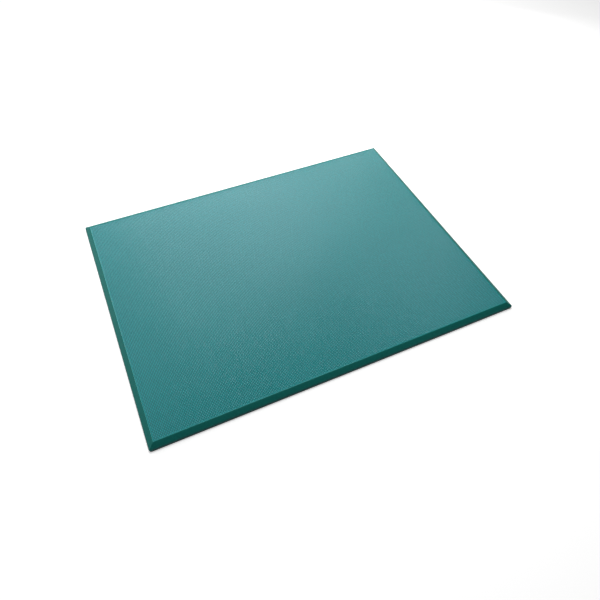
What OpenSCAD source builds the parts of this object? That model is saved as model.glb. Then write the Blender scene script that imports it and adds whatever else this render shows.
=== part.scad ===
// Cushioned standing mat: an embossed wear sheet on a foam core, closed by four bevelled
// edge strips that are mitred at the corners, on a thin non-slip backing.
// X runs along the length, Y across the width and Z up. The mat stands on Z = 0, centred.

/* [Mat] */
// Length along the floor
mat_l = 1200; // [600:10:1800]
// Width along the floor
mat_w = 900; // [450:10:1200]
// Height of the top above the floor
mat_t = 18; // [16:0.5:24]
// Radius of the upright corners
corner_r = 8; // [1:0.5:10]

/* [Layers] */
// Thickness of the embossed wear sheet
wear_t = 1.8; // [1:0.1:3]
// Thickness of the non-slip backing sheet
backing_t = 1.5; // [1:0.1:2]
// Thickness of each bonding film
film_t = 0.2; // [0.1:0.1:0.5]

/* [Edge strips] */
// Sideways run of the bevel, from the foot of the lip to the crease
bevel_run = 16; // [12:1:24]
// Height above the floor at which the bevel, drawn on down, would meet the upright lip
lip_h = 8.5; // [8:0.5:10]
// Broad rounding between the lip and the bevel
lip_r = 9; // [1:0.5:9]
// Rounding of the crease where the bevel meets the flat top
crease_r = 3; // [2:0.5:5]
// Width of the flat land between the crease and the wear sheet
land_w = 2; // [1.5:0.5:4]
// Width of the bonding flange that reaches in under the core
flange_w = 12; // [6:1:20]
// Thickness of the bonding flange
flange_t = 3; // [2:0.5:4]

/* [Hidden] */
// Slope of the bevel above the floor, in degrees
bevel_angle = atan2(mat_t - lip_h, bevel_run);
// Distance from the outside of a strip to its inner wall
strip_w = bevel_run + land_w;
// Length and width inside the strips' inner walls
inner_l = mat_l - 2 * strip_w;
inner_w = mat_w - 2 * strip_w;
// Heights of the layers above the floor
strip_z = backing_t;
core_z = backing_t + film_t;
wear_z = mat_t - wear_t;
core_top = wear_z - film_t;
flange_top = strip_z + flange_t;
// Number of flats along each rounding of the strip's outline
arc_steps = 6;
// Margin by which a cutting shape passes the piece it cuts
cut = 1;
$fn = 48;

// Points along an arc of radius r about c, from angle a to angle b
function arc(c, r, a, b) =
    [for (i = [0:arc_steps]) let (t = a + (b - a) * i / arc_steps) c + r * [cos(t), sin(t)]];

// Outline across a strip: x runs in from the outside of the mat, y runs up from the floor
function strip_outline() =
    let (
        half = bevel_angle / 2,
        // The lip's rounding touches the upright lip and the bevel
        lip_c = [lip_r, lip_h - lip_r * tan(45 - half)],
        // The crease's rounding touches the bevel and the flat top
        crease_c = [bevel_run + crease_r * tan(half), mat_t - crease_r]
    )
    concat(
        [[0, strip_z]],
        arc(lip_c, lip_r, 180, 90 + bevel_angle),
        arc(crease_c, crease_r, 90 + bevel_angle, 90),
        [
            [strip_w, mat_t],
            [strip_w, flange_top],
            [strip_w + flange_w, flange_top],
            [strip_w + flange_w, strip_z]
        ]
    );

// A flat slab centred on the Z axis, from height z0 to height z1
module slab(l, w, z0, z1) {
    translate([-l / 2, -w / 2, z0])
        cube([l, w, z1 - z0]);
}

// The mat's outer block with its upright corners rounded
module footprint(z0, z1) {
    slab(mat_l - 2 * corner_r, mat_w, z0, z1);
    slab(mat_l, mat_w - 2 * corner_r, z0, z1);
    for (x = [-1, 1], y = [-1, 1])
        translate([x * (mat_l / 2 - corner_r), y * (mat_w / 2 - corner_r), z0])
            cylinder(r = corner_r, h = z1 - z0);
}

// A strip along the front of a mat of length l and width w, with both ends cut at 45 degrees
module mitred_strip(l, w) {
    intersection() {
        translate([-l / 2, -w / 2, 0])
            rotate([90, 0, 90])
                linear_extrude(l)
                    polygon(strip_outline());
        linear_extrude(mat_t + cut)
            polygon([
                [-l / 2, -w / 2], [l / 2, -w / 2],
                [l / 2 - w / 2, 0], [w / 2 - l / 2, 0]
            ]);
    }
}

// The same strip with the mat's rounded corners cut on its ends
module long_strip() {
    intersection() {
        mitred_strip(mat_l, mat_w);
        footprint(0, mat_t + cut);
    }
}

module short_strip() {
    intersection() {
        rotate([0, 0, -90])
            mitred_strip(mat_w, mat_l);
        footprint(0, mat_t + cut);
    }
}

module wear_sheet() {
    color([0.27, 0.52, 0.52])
        slab(inner_l, inner_w, wear_z, mat_t);
}

module top_bond_film() {
    color([0.85, 0.84, 0.76])
        slab(inner_l, inner_w, core_top, wear_z);
}

// The core fills the space inside the strips and is rebated underneath for their flanges
module cushion_core() {
    color([0.20, 0.24, 0.24])
        union() {
            slab(inner_l, inner_w, flange_top, core_top);
            slab(inner_l - 2 * flange_w, inner_w - 2 * flange_w, core_z, flange_top);
        }
}

module base_bond_film() {
    color([0.85, 0.84, 0.76])
        slab(inner_l - 2 * flange_w, inner_w - 2 * flange_w, strip_z, core_z);
}

module backing_sheet() {
    color([0.05, 0.17, 0.15])
        footprint(0, backing_t);
}

module edge_front() {
    color([0.06, 0.29, 0.27])
        long_strip();
}

module edge_rear() {
    color([0.06, 0.29, 0.27])
        mirror([0, 1, 0])
            long_strip();
}

module edge_left() {
    color([0.06, 0.29, 0.27])
        short_strip();
}

module edge_right() {
    color([0.06, 0.29, 0.27])
        mirror([1, 0, 0])
            short_strip();
}

wear_sheet();
top_bond_film();
cushion_core();
base_bond_film();
backing_sheet();
edge_front();
edge_rear();
edge_left();
edge_right();
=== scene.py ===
import bpy
import bmesh
import math
from mathutils import Matrix, Vector


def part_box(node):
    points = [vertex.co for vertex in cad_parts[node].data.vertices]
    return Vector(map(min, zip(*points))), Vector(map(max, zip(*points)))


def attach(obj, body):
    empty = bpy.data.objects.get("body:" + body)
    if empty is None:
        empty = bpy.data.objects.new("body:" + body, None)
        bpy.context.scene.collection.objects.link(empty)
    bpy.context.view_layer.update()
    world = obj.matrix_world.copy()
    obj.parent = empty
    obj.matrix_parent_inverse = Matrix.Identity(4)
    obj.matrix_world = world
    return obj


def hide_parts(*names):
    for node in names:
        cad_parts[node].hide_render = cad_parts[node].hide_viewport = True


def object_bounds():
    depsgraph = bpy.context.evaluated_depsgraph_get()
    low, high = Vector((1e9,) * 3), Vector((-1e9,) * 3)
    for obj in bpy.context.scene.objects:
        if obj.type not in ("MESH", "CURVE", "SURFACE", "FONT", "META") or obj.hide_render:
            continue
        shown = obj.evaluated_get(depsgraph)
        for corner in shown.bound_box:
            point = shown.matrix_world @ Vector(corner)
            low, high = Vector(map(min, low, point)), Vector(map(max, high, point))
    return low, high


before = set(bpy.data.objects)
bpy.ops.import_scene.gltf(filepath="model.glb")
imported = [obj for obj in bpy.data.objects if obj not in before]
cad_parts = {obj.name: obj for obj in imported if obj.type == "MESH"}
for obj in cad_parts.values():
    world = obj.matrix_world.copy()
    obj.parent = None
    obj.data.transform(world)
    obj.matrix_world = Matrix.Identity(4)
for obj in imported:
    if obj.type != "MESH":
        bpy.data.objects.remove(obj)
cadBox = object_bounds()
mm = 0.001        # lengths are in metres
touching = 1e-6   # closer than this counts as the same place
smoothAngle = 25  # edges that turn by more degrees than this stay sharp
white = (1, 1, 1, 1)

# places that several pieces share, read off the frame
matLow, matHigh = cadBox
sheetLow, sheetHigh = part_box("wear_sheet")
coreLow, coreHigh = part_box("cushion_core")
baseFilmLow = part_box("base_bond_film")[0]
backingLow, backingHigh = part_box("backing_sheet")
matLength = matHigh.x - matLow.x
matWidth = matHigh.y - matLow.y
cornerRadius = 8 * mm  # the mat's upright corners
flangeThick = 3 * mm   # the strips' flange, under the core's rebate


# small helpers for node trees
def newGroup(name, inputs, outputs):
    group = bpy.data.node_groups.new(name, "ShaderNodeTree")
    for label, kind, value in inputs:
        socket = group.interface.new_socket(label, in_out="INPUT", socket_type=kind)
        if value is not None:
            socket.default_value = value
    for label, kind in outputs:
        group.interface.new_socket(label, in_out="OUTPUT", socket_type=kind)
    return group, group.nodes.new("NodeGroupInput"), group.nodes.new("NodeGroupOutput")


def fillSockets(tree, node, inputs):
    for key, value in inputs.items():
        if isinstance(value, bpy.types.NodeSocket):
            tree.links.new(value, node.inputs[key])
        else:
            node.inputs[key].default_value = value


def addNode(tree, kind, inputs, **settings):
    node = tree.nodes.new(kind)
    for key, value in settings.items():
        setattr(node, key, value)
    fillSockets(tree, node, inputs)
    return node


def mathNode(tree, operation, first, second):
    return addNode(tree, "ShaderNodeMath", {0: first, 1: second}, operation=operation).outputs[0]


def ramp(tree, value, low, high):
    # 0 below low, 1 above high, with a soft change between them
    node = addNode(tree, "ShaderNodeMapRange", {"Value": value, "From Min": low, "From Max": high},
                   interpolation_type="SMOOTHSTEP")
    return node.outputs["Result"]


def blendColours(tree, amount, first, second):
    # a mix node takes its two colours at sockets 6 and 7, and its two plain values at 2 and 3
    node = addNode(tree, "ShaderNodeMix", {0: amount, 6: first, 7: second}, data_type="RGBA")
    return node.outputs[2]


def blendValues(tree, amount, first, second):
    return addNode(tree, "ShaderNodeMix", {0: amount, 2: first, 3: second}).outputs[0]


# node groups that several materials use
grainPattern = {
    "scatter": 0.9,       # how far the round cells stray from even rows
    "noisePerCell": 2.3,  # scale of the noise against that of the cells
    "noiseDetail": 3.0,
    "noiseRoughness": 0.6,
}


def buildGrainGroup(pattern):
    # fine pebbling of pressed vinyl and rubber: round cells broken up by a finer noise
    group, given, out = newGroup(
        "fineGrain",
        [("Vector", "NodeSocketVector", None), ("Cells per metre", "NodeSocketFloat", 900.0),
         ("Noise share", "NodeSocketFloat", 0.4)],
        [("Height", "NodeSocketFloat")])
    place, cellScale = given.outputs["Vector"], given.outputs["Cells per metre"]
    cells = addNode(group, "ShaderNodeTexVoronoi",
                    {"Vector": place, "Scale": cellScale, "Randomness": pattern["scatter"]},
                    feature="SMOOTH_F1")
    noiseScale = mathNode(group, "MULTIPLY", cellScale, pattern["noisePerCell"])
    noise = addNode(group, "ShaderNodeTexNoise",
                    {"Vector": place, "Scale": noiseScale, "Detail": pattern["noiseDetail"],
                     "Roughness": pattern["noiseRoughness"]})
    domes = mathNode(group, "SUBTRACT", 1.0, cells.outputs["Distance"])
    height = blendValues(group, given.outputs["Noise share"], domes, noise.outputs["Fac"])
    group.links.new(height, out.inputs["Height"])
    return group


driftPattern = {
    "slowDetail": 2.0,
    "slowShare": 0.25,
    "finePerPatch": 50.0,  # scale of the mottling against that of the slow patches
    "fineDetail": 4.0,
    "fineRoughness": 0.65,
    "fineShare": 0.75,
    "lightUpTo": 0.38,     # no darker up to here, and fully darker from the next
    "darkFrom": 0.62,
}


def buildDriftGroup(pattern):
    # slow change of shade across a rolled sheet or a moulding, with fine mottling on top
    group, given, out = newGroup(
        "shadeDrift",
        [("Vector", "NodeSocketVector", None), ("Color", "NodeSocketColor", (0.5, 0.5, 0.5, 1)),
         ("Darker by", "NodeSocketFloat", 0.1), ("Patches per metre", "NodeSocketFloat", 3.0)],
        [("Color", "NodeSocketColor")])
    place, patchScale = given.outputs["Vector"], given.outputs["Patches per metre"]
    slow = addNode(group, "ShaderNodeTexNoise",
                   {"Vector": place, "Scale": patchScale, "Detail": pattern["slowDetail"]})
    fineScale = mathNode(group, "MULTIPLY", patchScale, pattern["finePerPatch"])
    fine = addNode(group, "ShaderNodeTexNoise",
                   {"Vector": place, "Scale": fineScale, "Detail": pattern["fineDetail"],
                    "Roughness": pattern["fineRoughness"]})
    both = mathNode(group, "ADD", mathNode(group, "MULTIPLY", slow.outputs["Fac"], pattern["slowShare"]),
                    mathNode(group, "MULTIPLY", fine.outputs["Fac"], pattern["fineShare"]))
    dark = ramp(group, both, pattern["lightUpTo"], pattern["darkFrom"])
    kept = mathNode(group, "SUBTRACT", 1.0, mathNode(group, "MULTIPLY", dark, given.outputs["Darker by"]))
    shaded = addNode(group, "ShaderNodeVectorMath", {0: given.outputs["Color"], "Scale": kept},
                     operation="SCALE")
    group.links.new(shaded.outputs[0], out.inputs["Color"])
    return group


scuffPattern = {
    "squeeze": (0.25, 1.0, 1.0),  # makes the marks four times as long along x
    "detail": 6.0,
    "roughness": 0.7,
    "distortion": 0.6,
    "fade": 0.12,                 # from no mark to a full one, above the threshold
}


def buildScuffGroup(pattern):
    # short, faint rub marks that run mostly one way
    group, given, out = newGroup(
        "rubMarks",
        [("Vector", "NodeSocketVector", None), ("Marks per metre", "NodeSocketFloat", 30.0),
         ("Threshold", "NodeSocketFloat", 0.6)],
        [("Mask", "NodeSocketFloat")])
    threshold = given.outputs["Threshold"]
    stretched = addNode(group, "ShaderNodeMapping",
                        {"Vector": given.outputs["Vector"], "Scale": pattern["squeeze"]})
    marks = addNode(group, "ShaderNodeTexNoise",
                    {"Vector": stretched.outputs[0], "Scale": given.outputs["Marks per metre"],
                     "Detail": pattern["detail"], "Roughness": pattern["roughness"],
                     "Distortion": pattern["distortion"]})
    mask = ramp(group, marks.outputs["Fac"], threshold, mathNode(group, "ADD", threshold, pattern["fade"]))
    group.links.new(mask, out.inputs["Mask"])
    return group


grainGroup = buildGrainGroup(grainPattern)
driftGroup = buildDriftGroup(driftPattern)
scuffGroup = buildScuffGroup(scuffPattern)
print("node groups ready")


# what the materials share
def useGroup(tree, group, inputs):
    node = tree.nodes.new("ShaderNodeGroup")
    node.node_tree = group
    fillSockets(tree, node, inputs)
    return node.outputs[0]


def startMaterial(name, look):
    material = bpy.data.materials.new(name)
    material.use_nodes = True
    tree = material.node_tree
    shader = tree.nodes["Principled BSDF"]
    shader.inputs["Specular IOR Level"].default_value = look["shine"]
    shader.inputs["Specular Tint"].default_value = look.get("shineTint", white)
    place = addNode(tree, "ShaderNodeTexCoord", {}).outputs["Object"]
    return material, tree, shader, place


def heightMask(tree, place, low, high):
    # 0 at the lower height, 1 at the upper one
    axes = addNode(tree, "ShaderNodeSeparateXYZ", {0: place})
    return ramp(tree, axes.outputs["Z"], low, high)


def driftInto(tree, place, colour, look):
    # the colour with its slow drift and its mottling
    return useGroup(tree, driftGroup, {"Vector": place, "Color": colour, "Darker by": look["darkerBy"],
                                       "Patches per metre": look["patchesPerMetre"]})


def rubInto(tree, place, colour, where, look):
    # rub marks in a lighter colour, only where the mask lets them show
    marks = useGroup(tree, scuffGroup, {"Vector": place, "Marks per metre": look["marksPerMetre"],
                                        "Threshold": look["markThreshold"]})
    share = mathNode(tree, "MULTIPLY", mathNode(tree, "MULTIPLY", marks, where), look["rubShare"])
    return blendColours(tree, share, colour, look["rubColour"])


def finishSurface(tree, shader, place, colour, look):
    # colour, then one fine grain that sets both the roughness and the bump
    tree.links.new(colour, shader.inputs["Base Color"])
    grain = useGroup(tree, grainGroup, {"Vector": place, "Cells per metre": look["grainsPerMetre"],
                                        "Noise share": look["grainNoise"]})
    duller = mathNode(tree, "MULTIPLY", grain, look["roughSpread"])
    tree.links.new(mathNode(tree, "ADD", duller, look["roughness"]), shader.inputs["Roughness"])
    bump = addNode(tree, "ShaderNodeBump", {"Height": grain, "Distance": look["grainDepth"]})
    tree.links.new(bump.outputs[0], shader.inputs["Normal"])


# mesh helpers
def openEdges(bm):
    return [e for e in bm.edges if e.is_boundary]


def newVerts(made):
    return [g for g in made["geom"] if isinstance(g, bmesh.types.BMVert)]


def everything(bm):
    return bm.verts[:] + bm.edges[:] + bm.faces[:]


# a reach is a rectangle's half length and half width, from the middle of the mat
def inset(reach, by):
    # a negative inset makes it larger
    return reach - Vector((by, by))


def cellGrid(reach, pitch, z):
    # a flat grid of nearly square cells over that reach, at height z
    across = round(2 * reach.x / pitch)
    along = round(2 * reach.y / pitch)
    bm = bmesh.new()
    bmesh.ops.create_grid(bm, x_segments=across, y_segments=along, size=1)
    bmesh.ops.scale(bm, vec=(reach.x, reach.y, 1), verts=bm.verts[:])
    bmesh.ops.translate(bm, vec=(0, 0, z), verts=bm.verts[:])
    print("grid of", across, "by", along, "cells")
    return bm


def growRim(bm, reach, z):
    # carries the open rim on to that reach, at height z, by a row of new faces
    rim = openEdges(bm)
    spanX = max(v.co.x for e in rim for v in e.verts)
    spanY = max(v.co.y for e in rim for v in e.verts)
    verts = newVerts(bmesh.ops.extrude_edge_only(bm, edges=rim))
    bmesh.ops.scale(bm, vec=(reach.x / spanX, reach.y / spanY, 1), verts=verts)
    for v in verts:
        v.co.z = z


def frameRim(bm, reach, z):
    # fills from the open rim out to a plain rectangle of four edges, all at height z; four points on a
    # circle, turned by half a right angle, make a square that reaches 1 each way before it is scaled
    ring = bmesh.ops.create_circle(bm, segments=4, radius=math.sqrt(2))["verts"]
    bmesh.ops.rotate(bm, cent=(0, 0, 0), matrix=Matrix.Rotation(math.radians(45), 3, "Z"), verts=ring)
    bmesh.ops.scale(bm, vec=(reach.x, reach.y, 1), verts=ring)
    bmesh.ops.translate(bm, vec=(0, 0, z), verts=ring)
    ringEdges = list({e for v in ring for e in v.link_edges})
    bmesh.ops.triangle_fill(bm, edges=openEdges(bm) + ringEdges, use_beauty=True, normal=(0, 0, 1))


def closeHole(bm):
    bmesh.ops.contextual_create(bm, geom=openEdges(bm))


def cutAway(bm, point, outward):
    # cuts everything beyond the plane off and closes the cut
    bmesh.ops.bisect_plane(bm, geom=everything(bm), plane_co=point, plane_no=outward, clear_outer=True)
    closeHole(bm)


def roundOff(bm, edges, offset, steps):
    bmesh.ops.bevel(bm, geom=edges, offset=offset, offset_type="OFFSET", segments=steps, profile=0.5,
                    affect="EDGES", material=-1)


def finishPiece(bm, name, cadNode, material, smoothBelow=None):
    bmesh.ops.recalc_face_normals(bm, faces=bm.faces[:])
    mesh = bpy.data.meshes.new(name)
    bm.to_mesh(mesh)
    bm.free()
    mesh.materials.append(material)
    if smoothBelow is not None:
        mesh.shade_smooth()
        mesh.set_sharp_from_angle(angle=math.radians(smoothBelow))
    piece = bpy.data.objects.new(name, mesh)
    bpy.context.scene.collection.objects.link(piece)
    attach(piece, "root")
    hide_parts(cadNode)
    print(name, "has", sum(len(p.vertices) - 2 for p in mesh.polygons), "triangles")
    return piece


# wear sheet: a field of small square pyramids inside a narrow smooth border
sheetShape = {
    "pitch": 4.52 * mm,      # side of one square cell of the emboss
    "depth": 0.8 * mm,       # groove to crest
    "border": 1.6 * mm,      # smooth border outside the emboss
    "borderDrop": 0.1 * mm,  # border below the crests
    "seam": 0.25 * mm,       # gap to the edge strips
    "edgeRound": 0.3 * mm,
}
sheetLook = {
    # painted shade: the grooves' colour is much darker than the crests', for the shade that lies down in
    # the grooves
    "crestColour": (0.027, 0.552, 0.557, 1),
    "grooveShadeColour": (0.0063, 0.125, 0.126, 1),
    "darkerBy": 0.12,
    "patchesPerMetre": 2.2,
    "rubColour": (0.031, 0.570, 0.575, 1),
    "rubShare": 0.2,
    "marksPerMetre": 9.0,
    "markThreshold": 0.62,
    "shine": 0.41,
    "shineTint": (0.67, 0.75, 1.0, 1),
    "roughness": 0.29,
    "roughSpread": 0.14,
    "grainsPerMetre": 1400.0,
    "grainNoise": 0.5,
    "grainDepth": 0.05 * mm,
}


def sheetVinyl(look, top, depth):
    material, tree, shader, place = startMaterial("embossedVinyl", look)
    # painted shade: darker down into the grooves between the pyramids, full colour up on the crests
    crest = heightMask(tree, place, top - depth, top)
    body = blendColours(tree, crest, look["grooveShadeColour"], look["crestColour"])
    drifted = driftInto(tree, place, body, look)
    rubbed = rubInto(tree, place, drifted, crest, look)
    finishSurface(tree, shader, place, rubbed, look)
    return material


def buildWearSheet(shape, look):
    top = sheetHigh.z
    edge = Vector((sheetHigh.x - shape["seam"], sheetHigh.y - shape["seam"]))
    field = inset(edge, shape["border"])
    bm = cellGrid(field, shape["pitch"], top - shape["depth"])
    bmesh.ops.poke(bm, faces=bm.faces[:], offset=shape["depth"], center_mode="MEAN")
    # the border, its rounded outer edge, the side and the underside
    borderTop = top - shape["borderDrop"]
    growRim(bm, inset(field, -shape["depth"]), borderTop)
    frameRim(bm, inset(edge, shape["edgeRound"]), borderTop)
    growRim(bm, edge, borderTop - shape["edgeRound"])
    growRim(bm, edge, sheetLow.z)
    closeHole(bm)
    material = sheetVinyl(look, top, shape["depth"])
    finishPiece(bm, "wearSheet", "wear_sheet", material)


buildWearSheet(sheetShape, sheetLook)


# edge strips: one profile all round, mitred at the corners
stripShape = {
    "bevelRun": 16 * mm,     # outside of the mat to the crease
    "lipHeight": 8.5 * mm,   # where bevel and lip would meet if they were sharp
    "lipRound": 9 * mm,
    "lipSteps": 10,
    "creaseRound": 3 * mm,
    "creaseSteps": 5,
    "arrisRound": 0.4 * mm,  # inner edge of the land on top
    "footRound": 0.2 * mm,   # bottom edge of the lip
    "arrisSteps": 3,
    "cornerSteps": 6,        # facets on each half of a rounded corner
    "loopEvery": 60 * mm,    # spacing of the loops across the strip
}
stripLook = {
    "colour": (0.0088, 0.176, 0.151, 1),
    "footShadeColour": (0.0018, 0.036, 0.031, 1),
    "footFrom": 3.5 * mm,    # painted shade darkest up to here
    "footTo": 10.5 * mm,     # painted shade fades out up to here; full colour from here up
    "darkerBy": 0.10,
    "patchesPerMetre": 3.5,
    "rubColour": (0.020, 0.240, 0.210, 1),
    "rubShare": 0.3,
    "marksPerMetre": 60.0,
    "markThreshold": 0.5,
    "wornBand": 1.2 * mm,    # rubbed along the crease
    "shine": 0.17,
    "shineTint": (0.77, 0.77, 1.0, 1),
    "roughness": 0.42,
    "roughSpread": 0.14,
    "grainsPerMetre": 1900.0,
    "grainNoise": 0.6,
    "grainDepth": 0.03 * mm,
}


def edgeVinyl(look):
    material, tree, shader, place = startMaterial("edgeVinyl", look)
    # painted shade: the strip is painted darker towards its foot, for the shade down by the floor
    clear = heightMask(tree, place, look["footFrom"], look["footTo"])
    body = blendColours(tree, clear, look["footShadeColour"], look["colour"])
    drifted = driftInto(tree, place, body, look)
    crest = heightMask(tree, place, matHigh.z - look["wornBand"], matHigh.z)
    rubbed = rubInto(tree, place, drifted, crest, look)
    finishSurface(tree, shader, place, rubbed, look)
    return material


# the strip's section, measured inwards from the outside of the mat
stripBase = backingHigh.z
stripWall = sheetLow.x - matLow.x
flangeReach = baseFilmLow.x - matLow.x


def stripOutline(shape):
    flangeTop = stripBase + flangeThick
    return [(0, stripBase), (0, shape["lipHeight"]), (shape["bevelRun"], matHigh.z), (stripWall, matHigh.z),
            (stripWall, flangeTop), (flangeReach, flangeTop), (flangeReach, stripBase)]


def edgesAt(bm, y, z):
    # the edges that run along the strip at that place in its section
    return [e for e in bm.edges
            if all(abs(v.co.y - y) < touching and abs(v.co.z - z) < touching for v in e.verts)]


def roundStrip(bm, shape, outside):
    # how far a round starts from its corner follows from its radius and from the bevel's slope
    slope = math.atan2(matHigh.z - shape["lipHeight"], shape["bevelRun"])
    lipOffset = shape["lipRound"] * math.tan((math.pi / 2 - slope) / 2)
    creaseOffset = shape["creaseRound"] * math.tan(slope / 2)
    rounds = [(0, shape["lipHeight"], lipOffset, shape["lipSteps"]),
              (shape["bevelRun"], matHigh.z, creaseOffset, shape["creaseSteps"]),
              (stripWall, matHigh.z, shape["arrisRound"], shape["arrisSteps"]),
              (0, stripBase, shape["footRound"], shape["arrisSteps"])]
    for y, z, offset, steps in rounds:
        roundOff(bm, edgesAt(bm, y - outside, z), offset, steps)


def mitreEnds(bm, shape, length, outside):
    # mitred ends, each with the 45 degrees of the mat's rounded corner that are on its side of the mitre
    for side in (-1, 1):
        tip = Vector((side * length / 2, -outside, 0))
        centre = tip + Vector((-side, 1, 0)) * cornerRadius
        for step in range(shape["cornerSteps"]):
            turn = math.radians(45) * (step + 0.5) / shape["cornerSteps"]
            outward = Vector((side * math.sin(turn), -math.cos(turn), 0))
            cutAway(bm, centre + outward * cornerRadius, outward)
        cutAway(bm, tip, Vector((side, 1, 0)).normalized())


def addLoops(bm, shape, length):
    # loops across the strip keep its long faces short
    loops = int(length / shape["loopEvery"])
    for loop in range(1, loops):
        bmesh.ops.bisect_plane(bm, geom=everything(bm), plane_co=(length * (loop / loops - 0.5), 0, 0),
                               plane_no=(1, 0, 0))


def buildStrip(shape, length, outside):
    # a strip along the front of a mat of that length, whose front face is at y = -outside
    bm = bmesh.new()
    corners = [bm.verts.new((-length / 2, y - outside, z)) for y, z in stripOutline(shape)]
    end = bm.faces.new(corners)
    far = newVerts(bmesh.ops.extrude_face_region(bm, geom=[end]))
    bmesh.ops.translate(bm, vec=(length, 0, 0), verts=far)
    roundStrip(bm, shape, outside)
    mitreEnds(bm, shape, length, outside)
    addLoops(bm, shape, length)
    return bm


def buildStrips(shape, look):
    material = edgeVinyl(look)
    places = [("edgeFront", "edge_front", matLength, matWidth, 0),
              ("edgeLeft", "edge_left", matWidth, matLength, -90),
              ("edgeRear", "edge_rear", matLength, matWidth, 180),
              ("edgeRight", "edge_right", matWidth, matLength, 90)]
    for name, node, length, depth, turn in places:
        bm = buildStrip(shape, length, depth / 2)
        turned = Matrix.Rotation(math.radians(turn), 3, "Z")
        bmesh.ops.rotate(bm, cent=(0, 0, 0), matrix=turned, verts=bm.verts[:])
        finishPiece(bm, name, node, material, smoothAngle)


buildStrips(stripShape, stripLook)


# backing sheet: a plain band round a field of shallow square pits, whose ribs grip the floor
backingShape = {
    "border": 10 * mm,     # plain band round the pits
    "pitch": 12 * mm,      # one pit to the next
    "rib": 1.6 * mm,       # half the width of the rib between two pits
    "pitDepth": 0.7 * mm,
    "cornerSteps": 8,
}
backingLook = {
    "colour": (0.006, 0.044, 0.041, 1),
    "darkerBy": 0.15,
    "patchesPerMetre": 4.0,
    "rubColour": (0.10, 0.12, 0.11, 1),  # floor dust
    "rubShare": 0.35,
    "marksPerMetre": 25.0,
    "markThreshold": 0.52,
    "dustDepth": 0.15 * mm,
    "shine": 0.3,
    "roughness": 0.55,
    "roughSpread": 0.2,
    "grainsPerMetre": 1100.0,
    "grainNoise": 0.5,
    "grainDepth": 0.06 * mm,
}


def gripRubber(look):
    material, tree, shader, place = startMaterial("gripRubber", look)
    body = addNode(tree, "ShaderNodeRGB", {})
    body.outputs[0].default_value = look["colour"]
    drifted = driftInto(tree, place, body.outputs[0], look)
    raised = heightMask(tree, place, backingLow.z, backingLow.z + look["dustDepth"])
    dusty = mathNode(tree, "SUBTRACT", 1.0, raised)
    rubbed = rubInto(tree, place, drifted, dusty, look)
    finishSurface(tree, shader, place, rubbed, look)
    return material


def buildBacking(shape, look):
    reach = Vector((matHigh.x, matHigh.y))
    bm = cellGrid(inset(reach, shape["border"]), shape["pitch"], backingLow.z)
    bmesh.ops.reverse_faces(bm, faces=bm.faces[:])
    bmesh.ops.inset_individual(bm, faces=bm.faces[:], thickness=shape["rib"], depth=-shape["pitDepth"])
    growRim(bm, reach, backingLow.z)
    growRim(bm, reach, backingHigh.z)
    closeHole(bm)

    def atCorner(v):
        return abs(v.co.x) > reach.x - touching and abs(v.co.y) > reach.y - touching

    upright = [e for e in bm.edges if all(atCorner(v) for v in e.verts)]
    roundOff(bm, upright, cornerRadius, shape["cornerSteps"])
    finishPiece(bm, "backingSheet", "backing_sheet", gripRubber(look), smoothAngle)


buildBacking(backingShape, backingLook)


# cushion core: a foam slab with a rebate all round its underside for the strips' flanges
coreShape = {
    "arrisRound": 0.5 * mm,
    "arrisSteps": 3,
}
coreLook = {
    "wallColour": (0.040, 0.050, 0.050, 1),
    "cellColour": (0.016, 0.021, 0.021, 1),
    "darkerBy": 0.2,
    "patchesPerMetre": 12.0,
    "cellsPerMetre": 1300.0,
    "cellUpTo": 0.15,  # cell colour up to here from a cell's middle, in cells
    "wallFrom": 0.6,   # wall colour from here out
    "cellDepth": 0.15 * mm,
    "shine": 0.25,
    "roughness": 0.85,
}


def closedCellFoam(look):
    material, tree, shader, place = startMaterial("closedCellFoam", look)
    cells = addNode(tree, "ShaderNodeTexVoronoi", {"Vector": place, "Scale": look["cellsPerMetre"]})
    walls = ramp(tree, cells.outputs["Distance"], look["cellUpTo"], look["wallFrom"])
    body = blendColours(tree, walls, look["cellColour"], look["wallColour"])
    drifted = driftInto(tree, place, body, look)
    tree.links.new(drifted, shader.inputs["Base Color"])
    shader.inputs["Roughness"].default_value = look["roughness"]
    bump = addNode(tree, "ShaderNodeBump", {"Height": walls, "Distance": look["cellDepth"]})
    tree.links.new(bump.outputs[0], shader.inputs["Normal"])
    return material


def buildCore(shape, look):
    flangeTop = backingHigh.z + flangeThick
    size = coreHigh - coreLow
    bm = bmesh.new()
    bmesh.ops.create_cube(bm, size=1)
    bmesh.ops.scale(bm, vec=(size.x, size.y, coreHigh.z - flangeTop), verts=bm.verts[:])
    bmesh.ops.translate(bm, vec=(0, 0, (coreHigh.z + flangeTop) / 2), verts=bm.verts[:])
    under = [f for f in bm.faces if f.normal.z < -0.5]  # the one face that looks down
    rebate = baseFilmLow.x - coreLow.x
    bmesh.ops.inset_region(bm, faces=under, thickness=rebate, use_even_offset=True)
    foot = newVerts(bmesh.ops.extrude_face_region(bm, geom=under))
    bmesh.ops.delete(bm, geom=under, context="FACES")
    bmesh.ops.translate(bm, vec=(0, 0, coreLow.z - flangeTop), verts=foot)
    roundOff(bm, bm.edges[:], shape["arrisRound"], shape["arrisSteps"])
    core = finishPiece(bm, "cushionCore", "cushion_core", closedCellFoam(look), smoothAngle)


buildCore(coreShape, coreLook)


# bonding films, kept as the CAD has them
filmLook = {
    "thickColour": (0.72, 0.70, 0.60, 1),
    "thinColour": (0.52, 0.52, 0.45, 1),
    "flowPerMetre": 180.0,
    "flowDetail": 5.0,
    "flowSwirl": 1.5,
    "flowDepth": 0.04 * mm,
    "thickUpTo": 0.35,
    "thinFrom": 0.65,
    "shine": 0.5,
    "roughness": 0.35,
    "roughSpread": 0.2,
}


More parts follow.
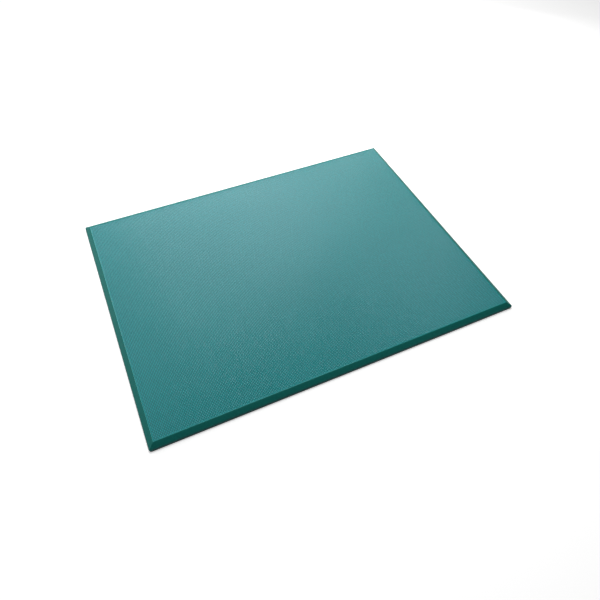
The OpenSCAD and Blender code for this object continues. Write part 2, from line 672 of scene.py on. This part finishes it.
def meltFilm(look):
    material, tree, shader, place = startMaterial("meltFilm", look)
    flow = addNode(tree, "ShaderNodeTexNoise",
                   {"Vector": place, "Scale": look["flowPerMetre"], "Detail": look["flowDetail"],
                    "Distortion": look["flowSwirl"]})
    thin = ramp(tree, flow.outputs["Fac"], look["thickUpTo"], look["thinFrom"])
    colour = blendColours(tree, thin, look["thickColour"], look["thinColour"])
    tree.links.new(colour, shader.inputs["Base Color"])
    duller = mathNode(tree, "MULTIPLY", thin, look["roughSpread"])
    tree.links.new(mathNode(tree, "ADD", duller, look["roughness"]), shader.inputs["Roughness"])
    bump = addNode(tree, "ShaderNodeBump", {"Height": flow.outputs["Fac"], "Distance": look["flowDepth"]})
    tree.links.new(bump.outputs[0], shader.inputs["Normal"])
    return material


filmMaterial = meltFilm(filmLook)
for filmNode in ("top_bond_film", "base_bond_film"):
    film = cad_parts[filmNode]
    film.data.materials.clear()
    film.data.materials.append(filmMaterial)
print("bonding films done")


# floor, lamps and camera
stageLook = {
    "floorSize": 30.0,
    "floorDrop": 0.2 * mm,
    "floorColour": (0.92, 0.92, 0.92, 1),
    "floorRoughness": 0.9,
    "floorGlow": 0.50,
    "worldLight": 0.03,  # how much the surroundings add to the lamps
    "worldSeen": 0.7,    # how bright they look past the floor's end
}
# each lamp faces the middle of the mat; azimuth 0 is behind it, 90 to its right, and powers are in watts
lampShape = {
    "over": {"azimuth": 15, "elevation": 68, "distance": 3.0, "size": (2.0, 2.0), "power": 63},
    "back": {"azimuth": 5, "elevation": 14, "distance": 2.2, "size": (1.2, 0.8), "power": 36},
    "backRight": {"azimuth": 38, "elevation": 14, "distance": 2.2, "size": (1.2, 0.8), "power": 21},
    "backLeft": {"azimuth": -50, "elevation": 25, "distance": 2.6, "size": (1.4, 1.0), "power": 17},
    "left": {"azimuth": -80, "elevation": 30, "distance": 3.2, "size": (1.6, 1.6), "power": 4},
}
# azimuth 0 is straight in front of the mat, and a negative one is to the left of that
cameraShape = {
    "azimuth": -24.86, "elevation": 53.28, "distance": 1.643, "target": (-0.0634, -0.1302, 0.0),
    "roll": 1.25, "lens": 30.18, "shiftX": 0.0239,
}


def paleFloor(look):
    material = bpy.data.materials.new("paleFloor")
    material.use_nodes = True
    shader = material.node_tree.nodes["Principled BSDF"]
    shader.inputs["Base Color"].default_value = look["floorColour"]
    shader.inputs["Roughness"].default_value = look["floorRoughness"]
    shader.inputs["Specular IOR Level"].default_value = 0
    shader.inputs["Emission Color"].default_value = white
    shader.inputs["Emission Strength"].default_value = look["floorGlow"]
    return material


def buildFloor(look):
    bm = bmesh.new()
    bmesh.ops.create_grid(bm, x_segments=1, y_segments=1, size=look["floorSize"] / 2)
    mesh = bpy.data.meshes.new("floor")
    bm.to_mesh(mesh)
    bm.free()
    mesh.materials.append(paleFloor(look))
    floor = bpy.data.objects.new("floor", mesh)
    floor.location.z = -look["floorDrop"]
    bpy.context.scene.collection.objects.link(floor)


def buildWorld(look):
    # bright to the camera, but dim as a light
    world = bpy.data.worlds.new("studio")
    world.use_nodes = True
    tree = world.node_tree
    background = tree.nodes["Background"]
    background.inputs["Color"].default_value = white
    seen = addNode(tree, "ShaderNodeLightPath", {}).outputs["Is Camera Ray"]
    strength = addNode(tree, "ShaderNodeMapRange",
                       {"Value": seen, "To Min": look["worldLight"], "To Max": look["worldSeen"]})
    tree.links.new(strength.outputs["Result"], background.inputs["Strength"])
    bpy.context.scene.world = world


def buildLamp(name, shape):
    light = bpy.data.lights.new(name, "AREA")
    light.shape = "RECTANGLE"
    light.size, light.size_y = shape["size"]
    light.energy = shape["power"]
    azimuth, elevation = math.radians(shape["azimuth"]), math.radians(shape["elevation"])
    towards = Vector((math.sin(azimuth) * math.cos(elevation), math.cos(azimuth) * math.cos(elevation),
                      math.sin(elevation)))
    lamp = bpy.data.objects.new(name, light)
    lamp.location = towards * shape["distance"]
    lamp.rotation_euler = towards.to_track_quat("Z", "Y").to_euler()
    bpy.context.scene.collection.objects.link(lamp)


def buildCamera(shape):
    azimuth, elevation, roll = (math.radians(shape[part]) for part in ("azimuth", "elevation", "roll"))
    back = Vector((math.sin(azimuth) * math.cos(elevation), -math.cos(azimuth) * math.cos(elevation),
                   math.sin(elevation)))
    right = Vector((0, 0, 1)).cross(back).normalized()
    turned = Matrix((right, back.cross(right), back)).transposed() @ Matrix.Rotation(roll, 3, "Z")
    data = bpy.data.cameras.new("camera")
    data.lens = shape["lens"]
    data.shift_x = shape["shiftX"]
    camera = bpy.data.objects.new("camera", data)
    place = Vector(shape["target"]) + back * shape["distance"]
    camera.matrix_world = Matrix.Translation(place) @ turned.to_4x4()
    bpy.context.scene.collection.objects.link(camera)
    bpy.context.scene.camera = camera


buildFloor(stageLook)
buildWorld(stageLook)
for lampName, lampValues in lampShape.items():
    buildLamp(lampName, lampValues)
buildCamera(cameraShape)
bpy.context.scene.view_settings.view_transform = "Standard"
print("stage, lamps and camera ready")
